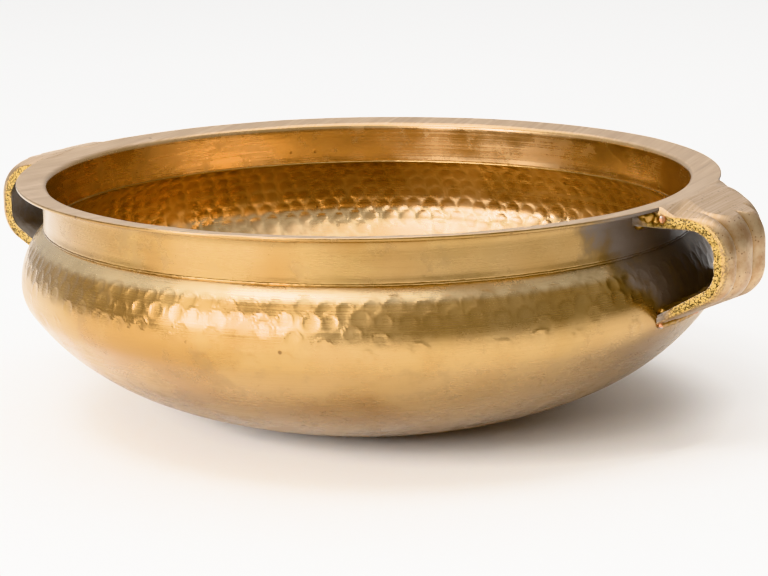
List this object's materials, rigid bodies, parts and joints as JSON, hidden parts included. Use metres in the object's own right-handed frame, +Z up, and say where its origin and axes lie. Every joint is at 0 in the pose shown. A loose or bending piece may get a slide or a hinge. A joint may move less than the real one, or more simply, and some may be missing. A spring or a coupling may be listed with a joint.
{
  "type": "urli bowl",
  "caption": "Wide hammered brass cooking and display bowl with an upright neck, a flat everted rim and a broad fluted lug handle on each side.",
  "frame": {"origin": "centre of the flattened base, where the bowl stands", "axes": "+Z up through the mouth; +X through the right handle, so the handles lie on the X axis"},
  "size_m": [0.5212, 0.44, 0.1535],
  "materials": {
    "hammered_brass": "ball-peened, then buffed; satin with hammer marks",
    "brushed_brass": "turned and brushed neck, flat-ground pinkish rim",
    "cast_brass": "filed casting with pits, rough bright edges and a sooty inside",
    "braze": "granular braze, darkened by the torch"
  },
  "bodies": {
    "root": {"belly_bowl": "hammered_brass", "neck_collar": "brushed_brass", "collar_seam_braze": "braze", "handle_right": "cast_brass", "handle_left": "cast_brass", "handle_right_top_braze": "braze", "handle_left_top_braze": "braze", "handle_right_bottom_braze": "braze", "handle_left_bottom_braze": "braze"}
  },
  "joints": []
}
